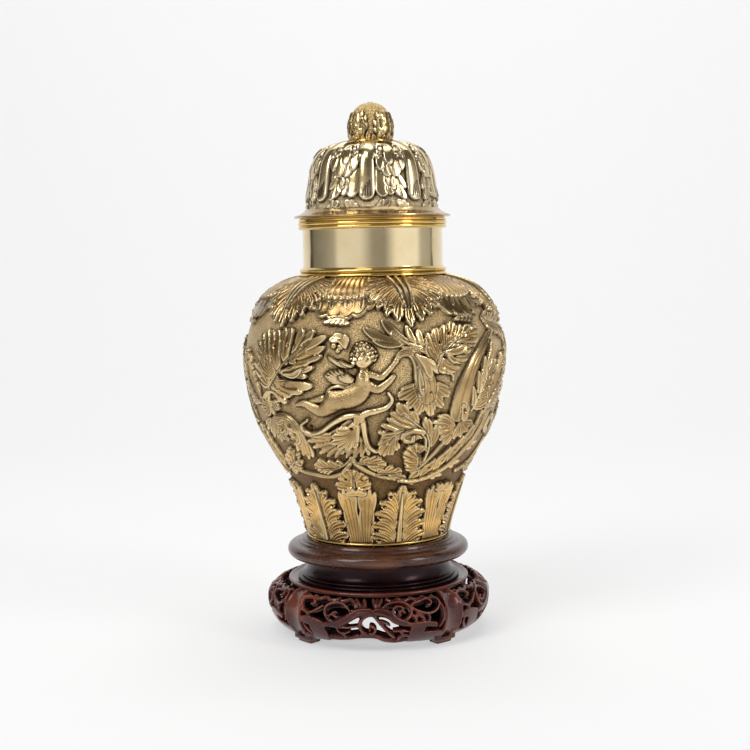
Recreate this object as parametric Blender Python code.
"""Chased silver-gilt ginger jar with a domed lid and a bud finial, on a carved hardwood stand.

The model stands on the floor plane, its axis on Z, the front panel of the stand towards -Y.
Sizes are in millimetres and become metres where a mesh is made. Chased work is drawn on a sheet
unrolled round the wall: an angle in degrees from the front, and v, the length up the wall.
"""
import math

import bmesh
import bpy
import numpy as np
from mathutils import Matrix

MM = 0.001
GAP = 0.3                      # clearance between pieces that rest on each other

# ---- jar
JAR_FOOT_Z = 68.6
JAR_FOOT_R = 51.6
JAR_WALL = 1.8
NECK_R = 52.7
COLLAR_R = 55.3                # lower collar
MOUTH_COLLAR_R = 56.0          # upper collar, under the lid
NECK_BORE_R = 51.2
NECK_Z = 265.0 + GAP           # the neck stands on the shoulder
MOUTH_Z = 311.5
REED_HEIGHT = 7.0              # lower collar: two reeds
MOUTH_REED_HEIGHT = 8.9        # upper collar: two reeds and a plain lip
CHASING_SCALE = 1.15           # a little bolder than the finest work, to show on coarse solids
JAR_TURN = 5.0                 # the chased design is turned this far from the stand's front
JAR_WALL_CURVE = [(52.2, 70.0), (53.6, 79.0), (58.0, 96.0), (64.2, 115.0), (73.4, 133.5), (83.8, 152.0),
                  (91.0, 170.5), (95.0, 189.0), (96.6, 207.0), (95.2, 225.0), (88.8, 243.0),
                  (78.5, 256.0), (71.5, 260.3), (64.0, 263.2), (56.5, 265.0)]
SHOULDER_V = 223.0             # length up the wall where it meets the neck
HOLLOW_FLOOR_R = JAR_FOOT_R - 6
HOLLOW_FLOOR_Z = JAR_FOOT_Z + 2.2
HOLLOW_TOP_Z = 261.5           # the wall's inner curve ends here, at the bore
DESIGN_PITCH = 60              # degrees between like leaves at the shoulder and the foot

# ---- lid and finial
LID_FLANGE_R = 58.8
LID_STEPS = [(0.9, LID_FLANGE_R), (2.6, 53.6), (4.8, 50.4)]     # height over the mouth, radius
LID_WALL = 1.8
LID_BEZEL_R = 49.2
LID_BEZEL_DEPTH = 11.0
LID_REPEATS = 8
LID_CURVE = [(48.6, 318.5), (47.4, 325.0), (45.6, 334.0), (44.2, 343.0), (41.6, 351.5), (37.5, 358.0),
             (30.0, 363.0), (20.0, 365.6)]
FINIAL_Z = 366.6
FINIAL_TOP = 397.6
FINIAL_R = 17.0
FINIAL_RING_R = 15.2
FINIAL_WIDEST = 0.28           # share of its height where the bud is widest
FINIAL_LEAVES = 8

# ---- stand
DISH_R = 53.9
DISH_FLOOR = JAR_FOOT_Z - GAP
TOP_RIM_R = 68.9
EDGE_ROUND = 4.6
DISC_MIDDLE_Z = 61.5
DISC_STEPS = [(61.4, 67.6), (60.4, 68.4), (DISH_R + 0.6, 71.4), (DISH_R, 71.2), (DISH_R, DISH_FLOOR)]
WAIST_R = 57.8
WAIST_HOLLOW = 3.8
WAIST_FOOT_Z = 43.8
STAND_SPLIT = 40.3             # the turned top rests on the carved base here
PANELS = 4
RAIL_Z = 8.0                   # underside of the bottom rail between the legs
APRON_WALL = 8.5
CEILING = (64.0, 31.6)         # radius and height of the base's flat underside
TOP_BEAD = [(67.0, 41.2), (65.6, 41.6), (64.0, 41.2), (63.2, 40.0), (62.4, STAND_SPLIT - GAP)]
FOOT_MIDDLE_R = 69.0
FOOT_HEIGHT = 6.0
FOOT_R = 4.4
APRON_CURVE = [(71.0, 3.6), (76.0, 7.0), (79.5, 10.5), (82.3, 15.0), (84.0, 20.0), (84.6, 25.0), (84.2, 29.0),
               (83.0, 32.0), (80.5, 35.5), (77.0, 38.2), (72.0, 40.2), (68.2, 40.4)]

# ---- colours
GILT = (0.72, 0.52, 0.24)
TURNED_WOOD = (0.05, 0.02, 0.022)
DISC_WOOD = (0.12, 0.05, 0.025)
CARVED_WOOD = (0.16, 0.05, 0.03)

# ---- how fine the solids are
GROOVE_DEPTH = 1.1             # the chased line round every leaf
GROOVE_WIDTH = 1.8
SHARP_ANGLE = 62
TOP_SIDES = 24
NECK_SIDES = 30
HOLLOW_SIDES = 24
SHEET_PITCH = 0.9
EMBOSS_PITCH = 1.5
HEM = 2.0                      # relief dies away over this length at both ends of a wall
JAR_FACES = 3450
LID_FACES = 760
FINIAL_FACES = 260
BASE_FACES = 1850


# ------------------------------------------------------------------ curves
def smooth_path(points, step=0.7):
    """Points along a smooth curve (Catmull-Rom) through a few chosen ones, about a step apart."""
    p = np.asarray(points, float)
    p = np.vstack([2 * p[0] - p[1], p, 2 * p[-1] - p[-2]])
    runs = []
    for a, b, c, d in zip(p[:-3], p[1:-2], p[2:-1], p[3:]):
        count = max(2, int(np.linalg.norm((c - b)[:2]) / step))
        t = np.arange(count)[:, None] / count
        runs.append(0.5 * (2 * b + (c - a) * t + (2 * a - 5 * b + 4 * c - d) * t ** 2
                           + (3 * b - 3 * c + d - a) * t ** 3))
    return np.vstack(runs + [p[-2:-1]])


def lengths(curve):
    """The length along a curve at each of its points."""
    return np.concatenate([[0], np.cumsum(np.hypot(*np.diff(curve, axis=0).T))])


def bump(x, width):
    """A soft ridge: 1 at x = 0, nearly 0 past two widths."""
    return np.exp(-(x / width) ** 2)


def rise(x, width):
    """A rounded edge: 0 below x = 0, 1 from x = width."""
    x = np.clip(x / width, 0, 1)
    return np.sqrt(x * (2 - x))


# ------------------------------------------------------------------ chased relief
class Relief:
    """Heights of chased work over a plain turned wall, on a sheet unrolled round it."""

    def __init__(self, curve, repeats, pitch=SHEET_PITCH):
        self.curve = smooth_path(curve, 0.3)
        self.length = lengths(self.curve)
        self.v = np.linspace(0, self.length[-1], int(self.length[-1] / pitch) + 1)
        self.radius = np.interp(self.v, self.length, self.curve[:, 0])
        self.repeat = 360.0 / repeats
        self.columns = int(self.radius.max() * math.radians(self.repeat) / pitch)
        self.step = self.repeat / self.columns
        self.height = np.zeros((len(self.v), self.columns))

    def place(self, points, reach):
        """The window round some (angle, v) points: its cells, their mm coordinates, the points'."""
        p = np.array([q[:2] for q in points], float)
        centre = (p.min(0) + p.max(0)) / 2
        radius = np.interp(p[:, 1], self.v, self.radius)
        local = np.column_stack([np.radians(p[:, 0] - centre[0]) * radius, p[:, 1] - centre[1]])
        low, high = local.min(0) - reach, local.max(0) + reach
        rows = np.where((self.v - centre[1] >= low[1]) & (self.v - centre[1] <= high[1]))[0]
        span = np.degrees(np.array([low[0], high[0]]) / self.radius[rows].min()) + centre[0]
        first = int(span[0] / self.step)
        last = min(int(span[1] / self.step), first + self.columns - 1)
        cols = np.arange(first, last + 1)
        x = np.radians(cols * self.step - centre[0])[None, :] * self.radius[rows][:, None]
        y = np.broadcast_to((self.v[rows] - centre[1])[:, None], x.shape)
        return (rows[:, None], (cols % self.columns)[None, :]), x, y, local

    def lay(self, cells, edge, shape, lift=0.0):
        """Puts a shape on the sheet where edge > 0, and sinks the ground just round it."""
        under = self.height[cells]
        sunk = under - GROOVE_DEPTH * np.clip(1 + edge / GROOVE_WIDTH, 0, 1)
        self.height[cells] = np.where(edge > 0, np.maximum(shape + lift, under), sunk)

    def soften(self, times):
        """Rounds off what is too fine for the solid."""
        h = self.height
        for _ in range(times):
            h = (h + np.roll(h, 1, 1) + np.roll(h, -1, 1)) / 3
            h[1:-1] = (h[:-2] + h[1:-1] + h[2:]) / 3
        self.height = h

    def at(self, angle, v):
        """Height at an angle and a length up the wall, blended between cells."""
        col = (angle / self.step) % self.columns
        row = np.clip(v / (self.v[1] - self.v[0]), 0, len(self.v) - 1.001)
        c, r = int(col), int(row)
        fc, fr = col - c, row - r
        near, far = c % self.columns, (c + 1) % self.columns
        low = self.height[r, near] * (1 - fc) + self.height[r, far] * fc
        high = self.height[r + 1, near] * (1 - fc) + self.height[r + 1, far] * fc
        return low * (1 - fr) + high * fr


def along(x, y, path):
    """Each cell's place along a path and its signed distance from it (left is positive)."""
    step = np.gradient(path, axis=0)
    step /= np.linalg.norm(step, axis=1)[:, None]
    nearest = ((x[..., None] - path[:, 0]) ** 2 + (y[..., None] - path[:, 1]) ** 2).argmin(2)
    dx, dy = x - path[nearest, 0], y - path[nearest, 1]
    tx, ty = step[nearest, 0], step[nearest, 1]
    s_at = lengths(path)
    return s_at[nearest] + dx * tx + dy * ty, dy * tx - dx * ty, s_at[-1]


def lobe(sheet, root, tip, wide, high=2.2, lift=0.0, bend=0.0):
    """One lobe of a leaf: a wedge from its root to a rounded tip."""
    p0, p1 = np.array(root[:2], float), np.array(tip[:2], float)
    scale = np.array([math.radians(1) * np.interp((p0[1] + p1[1]) / 2, sheet.v, sheet.radius), 1.0])
    reach = (p1 - p0) * scale
    middle = (p0 + p1) / 2 + np.array([-reach[1], reach[0]]) * bend / scale
    cells, x, y, p = sheet.place([p0, middle, p1], wide + 1.6)
    s, t, length = along(x, y, smooth_path(p))
    neck = max(length - 0.95 * wide, 0.3 * length)
    past = np.maximum(0, np.maximum(-s, s - neck))
    edge = wide * (0.40 + 0.50 * np.clip(s / neck, 0, 1)) - np.hypot(t, past)
    out = np.clip(s / length, 0, 1)
    z = high * (0.50 + 0.50 * rise(edge, 0.7 * wide)) * (0.80 + 0.28 * out)
    sheet.lay(cells, edge, z * rise(edge, 0.9), lift)


def stem(sheet, points, r0, r1, high=2.0, lift=0.0):
    """A tapering round stalk, tendril or midrib."""
    cells, x, y, p = sheet.place(points, max(r0, r1) + 2.5)
    s, t, length = along(x, y, smooth_path(p))
    r = r0 + (r1 - r0) * np.clip(s / length, 0, 1)
    edge = r - np.hypot(t, np.maximum(0, np.maximum(-s, s - length)))
    sheet.lay(cells, edge, high * rise(edge, r), lift)


def spray(sheet, midrib, tips, rib=1.2, high=2.6, lift=0.0):
    """A leaf given by its midrib and its lobes: (tip angle, tip v, half width, root, bend)."""
    path = smooth_path(midrib, 0.2)
    for angle, v, wide, root, bend in tips:
        lobe(sheet, path[int(root * (len(path) - 1))], (angle, v), wide * 1.3, high, lift, bend)
    if rib:
        stem(sheet, midrib, rib, 0.5 * rib, 0.75 * high + 0.5, lift + 0.35)


def leaf(sheet, midrib, left, right, lobes, high=2.5):
    """An acanthus leaf: pairs of lobes either side of a midrib, by rule."""
    p = smooth_path(midrib, 0.2)
    scale = np.column_stack([np.radians(1) * np.interp(p[:, 1], sheet.v, sheet.radius), np.ones(len(p))])
    ahead = np.gradient(p, axis=0) * scale
    s_at = np.concatenate([[0], np.cumsum(np.hypot(*ahead[1:].T))])
    for i in reversed(range(lobes)):
        f = (i + 0.55) / (lobes + 0.2)
        here = int(np.searchsorted(s_at, f * s_at[-1]))
        root = int(np.searchsorted(s_at, max(0, f - 0.38) * s_at[-1]))
        go = ahead[here] / np.linalg.norm(ahead[here])
        for side, width in ((1, left), (-1, right)):
            reach = width * math.sin(math.pi * (0.22 + 0.72 * f)) ** 0.7
            tip = p[here] + (np.array([-go[1], go[0]]) * side + go * 0.6) * reach / scale[here]
            lobe(sheet, p[root], tip, 0.30 * s_at[-1] / lobes + 0.22 * reach + 0.4, high, 0, -0.1 * side)
    stem(sheet, midrib, 1.0, 0.5, 0.75 * high + 0.5, 0.35)


def rosette(sheet, centre, reach, squash, wide, petals, start, turn):
    """Petals spreading from under a pod's mouth."""
    for i in range(petals):
        a = math.radians(start + i * turn)
        radius = np.interp(centre[1], sheet.v, sheet.radius)
        tip = (centre[0] + math.degrees(math.cos(a) * reach / radius),
               centre[1] + math.sin(a) * reach * squash)
        lobe(sheet, centre, tip, wide, 2.2)


def pod(sheet, points, widths, high=3.4, lift=0.4):
    """A drooping trumpet or husk: a tube whose half width changes along it."""
    cells, x, y, p = sheet.place(points, max(widths) + 3)
    s, t, length = along(x, y, smooth_path(p))
    r = np.interp(np.clip(s / length, 0, 1), np.linspace(0, 1, len(widths)), widths)
    edge = r - np.hypot(t, np.maximum(0, np.maximum(-s, s - length)))
    sheet.lay(cells, edge, high * rise(edge, 0.9 * r) * np.clip(r / max(widths), 0.45, 1), lift)


def figure(sheet, chains, lift=1.0, melt=1.6, flat=0.62):
    """A rounded body: chains of (angle, v, radius) melted together."""
    every = [q for chain in chains for q in chain]
    cells, x, y, p = sheet.place(every, max(q[2] for q in every) + 3)
    total, edge, first = np.zeros_like(x), np.full_like(x, -99.0), 0
    for chain in chains:
        mm = np.column_stack([p[first:first + len(chain)], [q[2] for q in chain]])
        first += len(chain)
        path = smooth_path(mm, 0.5)
        far = np.hypot(x[..., None] - path[:, 0], y[..., None] - path[:, 1]) - path[:, 2]
        r = path[far.argmin(2), 2]
        edge = np.maximum(edge, -far.min(2))
        total += np.exp(r * flat * rise(-far.min(2), r) / melt) - 1
    sheet.lay(cells, edge, melt * np.log(1 + total) * rise(edge, 0.8), lift)


def hanging(sheet, centre, half, end, root, lobes, lift=0.0, bow=0.42, high=1.9, groove=0.0):
    """A ribbed leaf straight down or up the wall, from its root to a scalloped end."""
    up = 1 if root > end else -1
    rows = np.where(np.abs(sheet.v - (end + root) / 2) <= abs(end - root) / 2 + 6)[0]
    cols = np.arange(int((centre - half - 3) / sheet.step), int((centre + half + 3) / sheet.step) + 1)
    u = (cols * sheet.step - centre)[None, :] / half
    wave = np.abs(np.sin(np.pi * (u + 1) / 2 * lobes))
    fringe = end + up * (abs(root - end) * bow * np.abs(u) ** 2.6 + 2.2 * (1 - wave ** 0.6))
    width = np.radians(half) * sheet.radius[rows][:, None]
    edge = np.minimum((sheet.v[rows][:, None] - fringe) * up, (1 - np.abs(u)) * width)
    z = high * (0.75 + 0.35 * wave ** 0.8) - groove * bump(u * width, 1.3)
    cells = (rows[:, None], (cols % sheet.columns)[None, :])
    sheet.lay(cells, edge, z * rise(edge, 1.4), lift)


# ------------------------------------------------------------------ the jar's design
def chase_shoulder(sheet):
    """Shell leaves in two tiers and acanthus leaves by turns, hanging from the neck."""
    for turn in range(int(sheet.repeat // DESIGN_PITCH)):
        shell = -14.5 + DESIGN_PITCH * turn
        hanging(sheet, shell, 18.5, 176, SHOULDER_V, 7)
        hanging(sheet, shell, 17.5, 190.5, SHOULDER_V, 9, lift=1.5)
        lobe(sheet, (shell - 4, 175), (shell + 4, 175.5), 2.0, 1.8, 1.8)
        drop = shell + 30.3
        for out, v, wide in ((15, 207, 4.8), (14.5, 198, 4.8), (12.5, 189, 4.5), (9.3, 182.5, 4.1),
                             (6, 178.3, 3.6), (2.8, 174.8, 3.1)):
            for side in (-1, 1):
                lobe(sheet, (drop + side, min(v + 24, 222)), (drop + side * out, v), wide, 2.4, 0.3)
        stem(sheet, [(drop, 222), (drop, 200), (drop, 171.5)], 2.6, 1.6, 2.6, 0.9)


def chase_foot(sheet):
    """Broad ribbed leaves and acanthus leaves by turns, standing on the foot."""
    for turn in range(int(sheet.repeat // DESIGN_PITCH)):
        broad = -13.2 + DESIGN_PITCH * turn
        hanging(sheet, broad, 13.5, 47, 2, 7, bow=0.16, groove=1.8)
        lobe(sheet, (broad - 4, 47.5), (broad + 4.5, 47.5), 2.2, 1.6, 1.8)
    for turn in range(int(sheet.repeat // DESIGN_PITCH)):
        mid = 16.3 + DESIGN_PITCH * turn
        for out, v, wide, root in ((20, 7, 3.4, 4), (21, 12, 3.4, 6), (20.5, 18, 3.4, 8),
                                   (20, 24, 3.4, 13), (18.5, 30.5, 3.7, 17), (16.5, 37, 3.7, 22),
                                   (13, 42, 3.7, 27), (8.5, 46.5, 3.7, 31), (4, 49.5, 3.2, 35)):
            for side in (-1, 1):
                lobe(sheet, (mid, root), (mid + side * out, v), wide, 2.2, 0.5, -0.1 * side)
        lobe(sheet, (mid, 36), (mid, 51), 2.6, 2.2, 0.6)
        stem(sheet, [(mid, 3), (mid, 20), (mid, 42)], 2.0, 1.0, 2.4, 0.9)


def chase_left_leaves(sheet):
    """The great acanthus spray behind the putto, and the scroll below it."""
    stem(sheet, [(-58, 112), (-55, 120), (-52, 130), (-46, 139)], 2.2, 2.0)
    spray(sheet, [(-52, 129), (-46, 139), (-40, 149), (-33, 157), (-24, 164)],
          [(-20, 168.5, 3.2, 0.8, 0), (-27, 170.5, 3.4, 0.75, 0.1), (-31.5, 171.5, 3.6, 0.65, 0.1),
           (-21, 160, 3.0, 0.75, -0.1), (-22, 153.5, 3.2, 0.6, -0.1), (-37, 173, 3.6, 0.5, 0.1),
           (-42, 171, 3.6, 0.45, 0.1), (-47, 171, 3.6, 0.4, 0.1), (-25.5, 147, 3.4, 0.5, -0.1),
           (-52, 170, 4.0, 0.35, 0.1), (-57, 165, 4.6, 0.3, 0.1), (-58, 156, 4.4, 0.25, 0.1),
           (-30, 141.5, 3.6, 0.4, -0.1), (-26.5, 132.5, 4.4, 0.2, -0.12), (-32, 127.5, 3.4, 0.15, -0.1),
           (-61, 146, 3.8, 0.15, 0.1), (-59, 139, 3.6, 0.1, 0.1), (-38, 124, 3.6, 0.1, -0.1),
           (-40, 119, 3.4, 0.05, -0.1)], rib=1.7, high=2.9)
    stem(sheet, [(-56, 123), (-50, 126), (-46, 123), (-47, 119.5), (-50, 120)], 2.6, 1.6)
    scroll = [(-54, 100), (-50, 105), (-45, 107), (-40, 103), (-37, 94), (-37, 84)]
    spray(sheet, scroll, [(-36, 75, 2.6, 0.95, 0), (-39, 74.5, 2.4, 0.9, 0), (-42, 77, 2.6, 0.85, -0.1)],
          rib=0, high=2.2)
    leaf(sheet, [(-48, 106), (-43, 102), (-41, 95), (-42, 87)], 2.5, 5.5, 4, 1.8)
    stem(sheet, scroll, 3.6, 3.6, 3.4)
    leaf(sheet, [(-60, 97), (-55, 93), (-49, 89), (-46, 93)], 6, 4, 4, 2.0)


def chase_shell_flower(sheet):
    """The open flower under the putto, on its curling stalk."""
    spray(sheet, [(-8, 112), (-13, 107), (-18, 101), (-22, 94)],
          [(-32, 86, 4.2, 0.4, 0.05), (-30, 80, 4.0, 0.5, 0.05), (-26, 77.5, 3.6, 0.6, 0.05),
           (-22, 77, 3.4, 0.6, 0), (-17.5, 77, 3.0, 0.6, 0)], rib=0, high=2.4)
    leaf(sheet, [(-9, 112), (-18, 105), (-26, 98), (-32, 96), (-34.5, 101), (-31, 108)], 3.2, 3.4, 4, 2.3)
    spray(sheet, [(-8, 112), (-8, 104), (-8, 97)],
          [(-13.5, 78, 3.4, 0.7, 0), (-10, 76.5, 3.2, 0.8, 0), (-6, 77, 3.0, 0.8, 0),
           (-3, 80, 2.6, 0.8, 0.05)], rib=0, high=2.4)
    leaf(sheet, [(-7, 104), (-6, 92), (-4, 84), (0, 81.5), (1, 87.5)], 2.4, 3.0, 4, 2.2)
    spray(sheet, [(-8, 106), (-10, 101), (-12, 96)],
          [(-19.5, 98, 2.6, 0.2, 0.1), (-21.5, 92, 3.2, 0.4, 0.1), (-21.5, 86, 3.4, 0.6, 0.05),
           (-18, 84, 3.2, 0.7, 0), (-14, 84, 3.0, 0.8, 0), (-10.5, 86, 2.8, 0.8, -0.05)],
          rib=0, high=2.3, lift=1.5)
    stem(sheet, [(4, 126), (6.5, 121), (4.5, 116.5), (0, 114), (-4, 112), (-8, 106)], 1.3, 2.6, 1.6, 0.8)


def chase_festoon(sheet):
    """The stems that cross under the flower, with their small leaves."""
    stem(sheet, [(-60, 64), (-50, 61), (-40, 59), (-30, 58), (-21, 61), (-16, 68), (-13, 76)], 1.7, 2.2)
    spray(sheet, [(-15, 72), (-20, 68), (-26, 66), (-32, 67)],
          [(-35.5, 72, 3.2, 0.8, 0.1), (-30, 74, 2.6, 0.6, 0.1), (-25.5, 73, 2.6, 0.4, 0.1),
           (-36, 66, 2.8, 0.8, -0.1), (-33, 62, 2.6, 0.6, -0.1)], rib=1.0, high=2.2)
    stem(sheet, [(-13, 76), (-10, 69), (-4, 63), (3, 59), (12, 56), (22, 52)], 2.2, 1.6)
    spray(sheet, [(-12, 72), (-6, 70.5), (0, 70.5)],
          [(5, 70, 3.0, 0.8, 0), (2, 75, 2.6, 0.6, 0.1), (-3, 74, 2.4, 0.3, 0.1),
           (4, 65.5, 2.4, 0.6, -0.1)], rib=1.0, high=2.2)
    spray(sheet, [(0, 61), (6, 62), (11, 62)],
          [(14, 63.5, 2.8, 0.8, 0), (9, 66, 2.4, 0.5, 0.1), (4, 65, 2.2, 0.2, 0.1),
           (13, 58.5, 2.4, 0.6, -0.1), (17, 57, 2.2, 0.8, -0.1)], rib=0.9, high=2.0)
    spray(sheet, [(-13.5, 50), (-13.5, 56), (-14, 60)],
          [(-16, 66, 3.0, 0.7, 0), (-12, 64.5, 2.4, 0.7, 0), (-23, 57.5, 3.0, 0.4, 0.1),
           (-19, 61, 2.6, 0.5, 0.1), (-26, 52.5, 2.8, 0.1, 0.1), (-5.5, 60, 3.0, 0.4, -0.1),
           (-9, 62, 2.4, 0.5, -0.1), (-3.5, 54, 2.8, 0.1, -0.1)], rib=0.9, high=1.9)


def chase_trumpets(sheet):
    """Two drooping trumpet flowers with their leaves, to the right of the putto."""
    for root, tip, wide in (((14, 161), (-5, 172.5), 3.6), ((12, 160), (0, 163.5), 2.4),
                            ((17, 159), (4, 178), 3.0), ((20, 157), (20, 171), 2.4)):
        lobe(sheet, root, tip, wide, 2.2, 0, 0.07)
    stem(sheet, [(26, 142), (25, 149), (20, 156), (14, 161), (8, 168)], 2.6, 0.8, 1.8, 0.5)
    rosette(sheet, (21, 124), 15, 0.87, 3.0, 9, 165, 26)
    stem(sheet, [(25.5, 140), (24, 148), (20, 153.5), (14, 155), (10, 153), (7, 144)], 3.2, 1.4, 1.8, 0.4)
    pod(sheet, [(12, 152), (16.5, 147), (19.5, 138), (21, 130), (21.5, 125)], [2.0, 4.4, 7.4, 8.2, 7.2])
    stem(sheet, [(27, 141), (31, 139.5), (34, 138), (34.5, 134)], 1.4, 1.2)
    spray(sheet, [(26, 144), (29, 153), (34, 160), (41, 165)],
          [(24.5, 170, 4.0, 0.25, 0.05), (30, 171, 3.4, 0.45, 0.05), (34.5, 175, 3.6, 0.6, 0.05),
           (39, 170, 3.4, 0.75, 0), (45, 170, 3.6, 0.9, 0), (51, 168, 3.4, 0.95, 0),
           (49, 161, 3.4, 0.8, -0.1), (43.5, 156, 3.8, 0.6, -0.1), (41.5, 149, 3.4, 0.35, -0.1),
           (37, 142.5, 3.4, 0.2, -0.1), (31, 143, 2.6, 0.05, -0.1), (23, 162, 2.8, 0.1, 0.1)],
          rib=1.3, high=2.8)
    rosette(sheet, (40, 108), 20, 1.0, 4.0, 8, 172, 27)
    spray(sheet, [(47, 112), (51, 124), (55, 136), (57, 146)],
          [(57, 153, 3.4, 0.9, 0), (52, 149, 3.2, 0.7, 0.1), (49, 140, 3.2, 0.5, 0.1),
           (62, 146, 3.2, 0.7, -0.1), (61, 137, 3.4, 0.5, -0.1), (59, 127, 3.4, 0.3, -0.1),
           (57, 117, 3.4, 0.1, -0.1)], rib=1.2, high=2.3)
    pod(sheet, [(64, 168), (57, 160), (50, 150), (45, 138), (42, 124), (40.5, 110)],
        [3, 4.5, 5.5, 7.5, 9.5, 9.5], 3.6)


def chase_right_leaves(sheet):
    """The scrolling acanthus below the trumpets and the long leaf that sweeps up round it."""
    spray(sheet, [(22, 62), (25, 75), (25.5, 86), (22, 96), (16, 104), (11, 111)],
          [(9, 120, 3.4, 0.85, 0.05), (6.5, 113.5, 3.0, 0.75, 0.08), (5.5, 109, 2.8, 0.7, 0.08),
           (14, 113, 2.6, 0.8, -0.05), (3, 104.5, 2.8, 0.6, 0.08), (1.5, 98.5, 2.8, 0.55, 0.08),
           (22, 106, 2.6, 0.5, -0.1), (27, 100, 2.6, 0.35, -0.1)], high=2.5)
    spray(sheet, [(22, 98), (15, 101), (9, 98), (6, 92)],
          [(3, 93, 2.8, 0.7, 0), (3, 79.5, 3.4, 0.8, -0.05), (7, 81, 3.2, 0.8, -0.05),
           (11, 83, 2.8, 0.7, -0.1)], rib=1.0, high=2.5, lift=0.3)
    spray(sheet, [(23, 60), (23, 68), (22, 75), (20, 79)],
          [(14.5, 83, 3.0, 0.7, 0.05), (18, 86.5, 2.8, 0.9, 0.05), (22, 85, 2.6, 0.9, 0),
           (15, 76, 2.6, 0.5, 0.1), (15.5, 70, 2.4, 0.3, 0.1)], rib=1.0, high=2.3, lift=0.3)
    stem(sheet, [(20, 98), (15, 97), (13, 93), (15.5, 90.5), (18, 92.5)], 2.2, 2.2, 2.2, 0.6)
    stem(sheet, [(20, 62), (26, 68), (31, 77), (34, 86)], 1.5, 1.8)
    sweep = [(14, 55), (30, 57), (43, 64), (53, 78), (59, 95), (61, 106)]
    spray(sheet, sweep,
          [(29, 66, 3.2, 0.09, 0.12), (34.5, 72.5, 4.0, 0.2, 0.12), (40, 74, 3.4, 0.3, 0.12),
           (43, 82.5, 4.2, 0.4, 0.12), (47.5, 87, 3.4, 0.5, 0.12), (51.5, 95, 4.2, 0.6, 0.12),
           (54, 101, 3.6, 0.7, 0.12), (57, 110, 4.0, 0.79, 0.12), (62, 114, 3.6, 0.81, 0.12)],
          rib=0, high=2.5)
    stem(sheet, sweep, 1.6, 3.0, 2.6)


def chase_side_leaves(sheet):
    """Leaves and a scroll that close the frieze at the jar's sides."""
    leaf(sheet, [(60, 112), (66, 124), (72, 136), (74, 150)], 13, 13, 5, 2.6)
    stem(sheet, [(60, 62), (70, 70), (78, 84), (76, 98), (69, 100), (67, 93), (72, 89)], 2.6, 2.0)
    leaf(sheet, [(78, 84), (86, 90), (92, 100), (94, 112)], 10, 9, 4)
    leaf(sheet, [(80, 160), (86, 150), (92, 142), (96, 130)], 12, 10, 4, 2.6)
    leaf(sheet, [(-62, 118), (-68, 128), (-72, 140), (-70, 156)], 11, 12, 4, 2.6)
    leaf(sheet, [(-60, 66), (-66, 74), (-70, 86), (-66, 98)], 9, 8, 4, 2.4)


def chase_putto(sheet):
    """A flying putto, reaching to the right for the flower's stalk."""
    for root, tips, wide in (((-9.5, 146), [(-21, 152.5), (-19, 150), (-17, 148), (-14.5, 146.5)], 2.4),
                             ((-8, 138), [(-22.5, 139), (-19.5, 136.5), (-16.5, 134.5), (-13.5, 133),
                                          (-10.5, 132)], 2.8)):
        for tip in tips:
            lobe(sheet, root, tip, wide, 1.8, 0.6, 0.08)
        ridge = ((root[0] + tips[0][0]) / 2, (root[1] + tips[0][1]) / 2 + 3.5)
        stem(sheet, [root, ridge, tips[0]], 1.6, 0.6, 2.6, 0.6)
    far_leg = [(-27, 122, 1.6), (-24.5, 121.5, 2.2), (-21, 120, 3.0)]
    far_arm = [(-3.5, 141, 2.2), (-0.5, 139.5, 2.0), (2.5, 138, 1.8), (5.5, 142.5, 1.6), (8.5, 148, 1.5)]
    leg = [(-36.5, 117.6, 1.2), (-34, 118.8, 1.7), (-31, 119.4, 2.3), (-28, 116.5, 3.0),
           (-24, 113.4, 3.6), (-20, 116.5, 4.6), (-17, 120.5, 5.6)]
    trunk = [(-16.5, 124, 6.4), (-12, 124, 6.2), (-8, 124.5, 6.2), (-5.5, 127.5, 6.0), (-5.5, 133, 4.6),
             (-5, 137, 3.0)]
    arm = [(-4.5, 134, 3.0), (-2, 131.5, 2.7), (1.2, 129.4, 2.3), (4, 132.5, 1.9), (7, 137, 1.7)]
    figure(sheet, [far_leg, far_arm], 0.4)
    figure(sheet, [leg, trunk, arm, [(-4.5, 138, 3.0), (-4.5, 145, 3.2)]])
    figure(sheet, [[(-4.4, 153.6, 8.2), (-4.3, 153.8, 8.2)]], 1.2, flat=0.62)


def jar_relief():
    """The jar's whole chased design; it repeats twice round."""
    sheet = Relief(JAR_WALL_CURVE, 2)
    chase_shoulder(sheet)
    chase_foot(sheet)
    chase_left_leaves(sheet)
    chase_shell_flower(sheet)
    chase_festoon(sheet)
    chase_trumpets(sheet)
    chase_right_leaves(sheet)
    chase_side_leaves(sheet)
    chase_putto(sheet)
    sheet.height *= CHASING_SCALE
    sheet.soften(1)
    return sheet


def lid_relief():
    """Flutes and tiered leaves by turns, hanging from the top of the dome."""
    sheet = Relief(LID_CURVE, LID_REPEATS, 0.6)
    top = sheet.length[-1]
    flutes = -4.0
    tier = flutes + sheet.repeat / 2
    for offset in (-7, 0, 7):
        hanging(sheet, flutes + offset, 3.9, 5 + abs(offset) / 4, top, 1, bow=0.1, high=2.3)
    hanging(sheet, tier, 13, 9, top, 3, bow=0.5, high=1.6)
    for out, v, wide in ((9.5, 23, 3.6), (6, 17, 3.4), (11, 33, 3.6), (8, 42, 3.2)):
        for side in (-1, 1):
            lobe(sheet, (tier + side, v + 16), (tier + side * out, v), wide, 1.8, 1.3)
    lobe(sheet, (tier, 34), (tier, 16), 3.6, 1.8, 1.5)
    sheet.soften(1)
    return sheet


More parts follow.
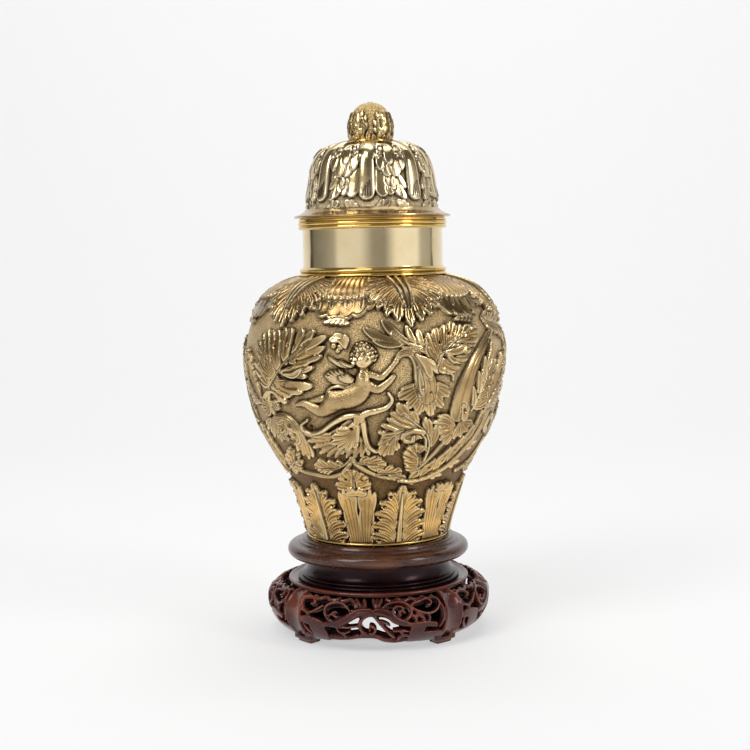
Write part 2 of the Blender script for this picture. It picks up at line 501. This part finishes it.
# ------------------------------------------------------------------ solids
def finish(bm, name, material):
    """Makes a mesh object from a bmesh in millimetres."""
    bmesh.ops.remove_doubles(bm, verts=bm.verts, dist=0.0005)
    bmesh.ops.recalc_face_normals(bm, faces=bm.faces)
    bmesh.ops.scale(bm, vec=(MM, MM, MM), verts=bm.verts)
    mesh = bpy.data.meshes.new(name)
    bm.to_mesh(mesh)
    bm.free()
    mesh.shade_smooth()
    mesh.set_sharp_from_angle(angle=math.radians(SHARP_ANGLE))
    mesh.materials.append(material)
    solid = bpy.data.objects.new(name, mesh)
    bpy.context.collection.objects.link(solid)
    return solid


def turned(rows, columns, radius):
    """A closed bmesh of revolution: rows of (radius, z) from bottom to top, each shaped by angle.

    radius(row, angle) gives the real radius; the first and last rows close on the axis.
    """
    bm = bmesh.new()
    rings = []
    for row in range(len(rows)):
        ring = []
        for column in range(columns):
            angle = 360.0 * column / columns
            r, z = radius(row, angle)
            a = math.radians(angle)
            ring.append(bm.verts.new((r * math.sin(a), -r * math.cos(a), z)))
        rings.append(ring)
    for low, high in zip(rings, rings[1:]):
        for i in range(columns):
            j = (i + 1) % columns
            bm.faces.new((low[i], low[j], high[j], high[i]))
    bottom = bm.verts.new((0, 0, rings[0][0].co.z))
    top = bm.verts.new((0, 0, rings[-1][0].co.z))
    for i in range(columns):
        j = (i + 1) % columns
        bm.faces.new((bottom, rings[0][j], rings[0][i]))
        bm.faces.new((top, rings[-1][i], rings[-1][j]))
    return bm


def plain_turned(rows, columns):
    """A turned solid with no carving."""
    return turned(rows, columns, lambda row, angle: rows[row])


def embossed(below, sheet, above, pitch, turn=0.0):
    """A turned solid whose middle rows carry a sheet of relief along the wall's normal."""
    curve, length = sheet.curve, sheet.length
    slope = np.gradient(curve, axis=0)
    slope /= np.linalg.norm(slope, axis=1)[:, None]
    count = int(length[-1] / pitch)
    places = np.linspace(0, length[-1], count + 1)
    rows = [(r, z, None) for r, z in below]
    for v in places:
        r, z = (np.interp(v, length, curve[:, k]) for k in (0, 1))
        out, down = (np.interp(v, length, slope[:, k]) for k in (1, 0))
        rows.append((r, z, (v, out, -down)))
    rows += [(r, z, None) for r, z in above]

    def radius(row, angle):
        r, z, carved = rows[row]
        if carved is None:
            return r, z
        v, out, rise_z = carved
        h = sheet.at(angle - turn, v) * min(1.0, max(0.0, v / HEM - 1), (length[-1] - v) / HEM)
        return r + h * out, z + h * rise_z

    columns = int(2 * math.pi * sheet.radius.max() / pitch)
    return turned(rows, columns, radius)


def thin_out(solid, faces):
    """A Decimate modifier that brings a finely embossed solid down to a number of triangles."""
    triangles = sum(len(p.vertices) - 2 for p in solid.data.polygons)
    modifier = solid.modifiers.new("Thin out", 'DECIMATE')
    modifier.ratio = faces / triangles


def hide(tool, solid, operation):
    """Uses one solid as a boolean tool on another and keeps it out of sight."""
    tool.hide_render = True
    tool.display_type = 'WIRE'
    modifier = solid.modifiers.new(tool.name, 'BOOLEAN')
    modifier.operation = operation
    modifier.solver = 'EXACT'
    modifier.object = tool


def hollow_out(solid, name, rows, columns, material):
    """Cuts a turned hollow out of a solid."""
    hide(finish(plain_turned(rows, columns), name, material), solid, 'DIFFERENCE')


def offset_curve(curve, inwards):
    """A wall's curve moved in along its normal, as a few (radius, z) points."""
    path = smooth_path(curve, 1.0)
    slope = np.gradient(path, axis=0)
    slope /= np.linalg.norm(slope, axis=1)[:, None]
    return path - np.column_stack([slope[:, 1], -slope[:, 0]]) * inwards


def make_jar(material):
    """The hollow jar up to its shoulder: foot and chased body."""
    below = [(JAR_FOOT_R - 0.6, JAR_FOOT_Z), (JAR_FOOT_R + 0.5, JAR_FOOT_Z + 0.7)]
    jar = finish(embossed(below, jar_relief(), [], EMBOSS_PITCH, JAR_TURN), "jar_body", material)
    thin_out(jar, JAR_FACES)
    inner = offset_curve(JAR_WALL_CURVE, JAR_WALL)
    belly = inner[(inner[:, 1] > JAR_FOOT_Z + 6) & (inner[:, 1] < HOLLOW_TOP_Z)]
    picks = np.linspace(0, len(belly) - 1, 9).astype(int)
    hollow = [(HOLLOW_FLOOR_R, HOLLOW_FLOOR_Z)] + [tuple(belly[i]) for i in picks]
    hollow += [(NECK_BORE_R, HOLLOW_TOP_Z + 1.5), (NECK_BORE_R, NECK_Z + 5)]
    hollow_out(jar, "jar_hollow", hollow, HOLLOW_SIDES, material)
    return jar


def make_neck(material):
    """The plain neck between two reeded collars."""
    reed_top, mouth_reed = NECK_Z + REED_HEIGHT, MOUTH_Z - MOUTH_REED_HEIGHT
    rows = [(COLLAR_R - 0.2, NECK_Z), (COLLAR_R, NECK_Z + 2.6), (COLLAR_R - 0.9, NECK_Z + 3.5),
            (COLLAR_R - 0.7, reed_top - 0.9), (NECK_R, reed_top), (NECK_R, mouth_reed),
            (COLLAR_R, mouth_reed + 1.0), (COLLAR_R, mouth_reed + 3.6),
            (MOUTH_COLLAR_R - 0.3, mouth_reed + 4.4), (MOUTH_COLLAR_R, MOUTH_Z - 0.9),
            (MOUTH_COLLAR_R - 0.7, MOUTH_Z)]
    neck = finish(plain_turned(rows, NECK_SIDES), "jar_neck", material)
    hollow_out(neck, "neck_hollow", [(NECK_BORE_R, NECK_Z - 5), (NECK_BORE_R, MOUTH_Z + 5)], NECK_SIDES,
               material)
    return neck


def make_lid(material):
    """The domed lid, hollow below, with a bezel that drops into the neck."""
    sit = MOUTH_Z + GAP
    below = [(LID_BEZEL_R, sit - LID_BEZEL_DEPTH), (LID_BEZEL_R, sit), (LID_FLANGE_R, sit)]
    below += [(r, sit + up) for up, r in LID_STEPS]
    above = [(12.0, FINIAL_Z - GAP)]
    lid = finish(embossed(below, lid_relief(), above, EMBOSS_PITCH, JAR_TURN), "lid", material)
    thin_out(lid, LID_FACES)
    inner = offset_curve(LID_CURVE, LID_WALL)
    picks = np.linspace(0, len(inner) - 1, 6).astype(int)
    hollow = [(LID_BEZEL_R - LID_WALL, sit - LID_BEZEL_DEPTH - 5), (LID_BEZEL_R - LID_WALL, sit + 2)]
    hollow_out(lid, "lid_hollow", hollow + [tuple(inner[i]) for i in picks], HOLLOW_SIDES, material)
    return lid


def make_finial(material):
    """A bud of upright leaves on a small ring."""
    rows = [(FINIAL_RING_R - 2, FINIAL_Z), (FINIAL_RING_R, FINIAL_Z + 0.8)]
    height = FINIAL_TOP - FINIAL_Z
    for i in range(1, 14):
        t = i / 14
        full = 0.93 + 0.07 * t / FINIAL_WIDEST
        if t > FINIAL_WIDEST:
            full = math.sqrt(max(0.0, 1 - ((t - FINIAL_WIDEST) / (1 - FINIAL_WIDEST)) ** 2))
        rows.append((FINIAL_R * full, FINIAL_Z + height * t))
    rows.append((3.0, FINIAL_TOP))

    def radius(row, angle):
        r, z = rows[row]
        return r - 0.5 * (0.5 - 0.5 * math.cos(math.radians(FINIAL_LEAVES * angle))), z

    finial = finish(turned(rows, 64, radius), "lid_finial", material)
    thin_out(finial, FINIAL_FACES)
    return finial


def make_stand_top(material):
    """The stand's turned disc: a dished seat inside a raised lip, and a half-round edge."""
    centre_r = TOP_RIM_R - EDGE_ROUND
    edge = [(centre_r + EDGE_ROUND * math.sin(a), DISC_MIDDLE_Z - EDGE_ROUND * math.cos(a))
            for a in np.linspace(0, math.radians(165), 7)]
    return finish(plain_turned(edge + DISC_STEPS, TOP_SIDES), "stand_top", material)


def make_stand_waist(material):
    """The hollow-sided turned drum between the disc and the carved base."""
    top = DISC_MIDDLE_Z - EDGE_ROUND - GAP
    waist = [(WAIST_R - WAIST_HOLLOW * math.sin(math.pi * t) ** 0.8, WAIST_FOOT_Z + (top - WAIST_FOOT_Z) * t)
             for t in np.linspace(0, 1, 6)]
    rows = [(60.4, STAND_SPLIT), (61.0, 41.0), (60.8, 42.0), (57.9, 42.6)] + waist
    return finish(plain_turned(rows, TOP_SIDES), "stand_waist", material)


# ------------------------------------------------------------------ carved base of the stand
def front(sheet, x, z):
    """The (angle, v) on the apron of a point seen from the front: across and up, in mm."""
    v = float(np.interp(z, sheet.curve[:, 1], sheet.length))
    return math.degrees(math.asin(x / np.interp(v, sheet.v, sheet.radius))), v


def spiral(sheet, x, z, reach, turns, start, side):
    """A volute's points, winding in from its outer end; side is -1 or 1."""
    points = []
    count = int(10 * turns) + 1
    for i in range(count):
        a = math.radians(start) + 2 * math.pi * turns * i / (count - 1)
        r = reach * (1 - 0.82 * i / (count - 1))
        points.append(front(sheet, x + side * r * math.cos(a), z + r * math.sin(a)))
    return points


def apron_relief():
    """One panel of the apron, repeated four times: bow, volutes, fret blocks, rail and stiles."""
    sheet = Relief(APRON_CURVE, PANELS, 0.7)
    top = sheet.length[-1]
    half = sheet.repeat / 2
    for side in (-1, 1):
        stem(sheet, [front(sheet, side * x, z) for x, z in ((29, 22.5), (22, 25.5), (12, 27.5), (0, 31))],
             2.4, 3.0, 2.6)
        stem(sheet, spiral(sheet, side * 24, 32, 5.6, 1.4, 250, side), 1.8, 1.2, 2.8)
        stem(sheet, [front(sheet, side * x, z) for x, z in ((29, 36), (36, 34), (43, 36.5), (44, 33.5))],
             1.4, 1.6, 2.0)
        stem(sheet, [front(sheet, side * x, z) for x, z in ((4, 33), (10, 35.5), (17, 35.5))], 1.5, 1.5, 2.0)
        stem(sheet, [front(sheet, side * x, z) for x, z in ((10, 19.4), (26, 19.4))], 1.3, 1.3, 1.8)
        stem(sheet, [front(sheet, side * x, z) for x, z in ((28, 22), (29, 17), (27, 13))], 2.6, 2.0, 2.2)
        stem(sheet, [front(sheet, side * x, z) for x, z in ((36, 26.5), (52, 26.5))], 1.6, 1.6, 2.0)
        stem(sheet, [front(sheet, side * x, z) for x, z in ((35, 25), (36, 16), (33, 10))], 1.8, 1.8, 2.0)
        stem(sheet, [front(sheet, side * x, z) for x, z in ((0, 9), (10, 10), (18, 9), (30, 10), (46, 10))],
             1.9, 1.9, 2.2)
        for edge in (half - 4.6, half - 1.6):
            stem(sheet, [(side * edge, 0), (side * edge, top * 0.5), (side * edge, top - 5)], 2.2, 2.2, 1.6)
        stem(sheet, [(side * (half - 4), top - 8), (side * (half - 1), top - 3.5), (half, top - 1)],
             1.8, 1.8, 2.0)
    stem(sheet, spiral(sheet, 0, 20.4, 5.0, 1.3, 60, 1), 1.6, 1.2, 2.4)
    for lean in (-5, -2.5, 0, 2.5, 5):
        lobe(sheet, front(sheet, lean * 0.3, 32), front(sheet, lean * 1.25, 39 - abs(lean) * 0.5), 1.6, 2.4)
    return sheet


def prism(bm, outline, panel, near, far):
    """Adds a straight cutter through one panel: an outline of (across, z), from near to far out."""
    verts = [bm.verts.new((x, -near, z)) for x, z in outline]
    extruded = bmesh.ops.extrude_face_region(bm, geom=[bm.faces.new(verts)])
    moved = [v for v in extruded["geom"] if isinstance(v, bmesh.types.BMVert)]
    bmesh.ops.translate(bm, vec=(0, near - far, 0), verts=moved)
    bmesh.ops.rotate(bm, cent=(0, 0, 0), verts=verts + moved,
                     matrix=Matrix.Rotation(math.radians(360.0 / PANELS * panel), 3, 'Z'))


def oval(x, z, half_x, half_z, sides=8):
    """An oval outline."""
    corners = [2 * math.pi * (i + 0.5) / sides for i in range(sides)]
    return [(x + half_x * math.cos(a), z + half_z * math.sin(a)) for a in corners]


def piercings():
    """One panel's openings, each with how far out its cut starts."""
    outlines = [[(-47.5, -6), (47.5, -6), (47.5, RAIL_Z), (20.0, RAIL_Z), (17.0, RAIL_Z - 1.5),
                 (14.0, RAIL_Z), (-14.0, RAIL_Z), (-17.0, RAIL_Z - 1.5), (-20.0, RAIL_Z), (-47.5, RAIL_Z)],
                oval(0, 20.4, 1.9, 1.9, 6), oval(0, 13.3, 4.0, 1.4, 6)]
    for side in (-1, 1):
        outlines.append([(side * x, z) for x, z in ((9.5, 21.0), (24.5, 21.0), (20.0, 22.6), (9.5, 24.4))])
        outlines.append([(side * x, z) for x, z in ((9.0, 17.8), (7.0, 12.2), (24.5, 12.2), (26.0, 17.8))])
        outlines.append([(side * x, z) for x, z in ((39.0, 17.5), (47.0, 17.5), (47.0, 20.5), (39.0, 20.5))])
        outlines.append([(side * x, z) for x, z in ((37.5, 12.4), (47.0, 12.4), (47.0, 14.8), (37.5, 14.8))])
    return [(o, 54.0) for o in outlines] + [(oval(side * 24, 32, 1.9, 1.9, 6), 66.0) for side in (-1, 1)]


def make_stand_base(material):
    """The carved base: pierced apron, stiles and four scroll feet under a flat top."""
    sheet = apron_relief()
    inner = offset_curve(APRON_CURVE, APRON_WALL)
    inner = inner[(inner[:, 1] > APRON_CURVE[0][1]) & (inner[:, 1] < CEILING[1] - 0.6)]
    below = [CEILING] + [tuple(inner[i]) for i in np.linspace(len(inner) - 1, 0, 5).astype(int)]
    below.append((APRON_CURVE[0][0] - APRON_WALL + 3, APRON_CURVE[0][1]))
    base = finish(embossed(below, sheet, TOP_BEAD, EMBOSS_PITCH), "stand_base", material)
    cutters = bmesh.new()
    for panel in range(PANELS):
        for outline, near in piercings():
            prism(cutters, outline, panel, near, 100.0)
    hide(finish(cutters, "base_piercings", material), base, 'DIFFERENCE')
    thin_out(base, BASE_FACES)
    feet = bmesh.new()
    for leg in range(PANELS):
        turn = Matrix.Rotation(math.radians(360.0 / PANELS * (leg + 0.5)), 4, 'Z')
        made = bmesh.ops.create_cone(feet, cap_ends=True, segments=8, radius1=FOOT_R, radius2=FOOT_R + 0.8,
                                     depth=FOOT_HEIGHT)
        place = turn @ Matrix.Translation((0, -FOOT_MIDDLE_R, FOOT_HEIGHT / 2))
        bmesh.ops.scale(feet, vec=(1.7, 1.0, 1.0), verts=made["verts"])
        bmesh.ops.transform(feet, matrix=place, verts=made["verts"])
    hide(finish(feet, "base_feet", material), base, 'UNION')
    return base


# ------------------------------------------------------------------ materials and assembly
def make_material(name, colour, roughness, metallic):
    """A plain Principled material."""
    material = bpy.data.materials.new(name)
    material.use_nodes = True
    shader = material.node_tree.nodes["Principled BSDF"]
    shader.inputs["Base Color"].default_value = (*colour, 1)
    shader.inputs["Roughness"].default_value = roughness
    shader.inputs["Metallic"].default_value = metallic
    return material


def main():
    for old in list(bpy.data.objects):
        bpy.data.objects.remove(old)
    make_stand_base(make_material("stand_base_wood", CARVED_WOOD, 0.35, 0.0))
    make_stand_waist(make_material("stand_waist_wood", TURNED_WOOD, 0.3, 0.0))
    make_stand_top(make_material("stand_top_wood", DISC_WOOD, 0.3, 0.0))
    make_jar(make_material("jar_gilt", GILT, 0.28, 1.0))
    make_neck(make_material("neck_gilt", GILT, 0.2, 1.0))
    make_lid(make_material("lid_gilt", GILT, 0.28, 1.0))
    make_finial(make_material("finial_gilt", GILT, 0.26, 1.0))


main()
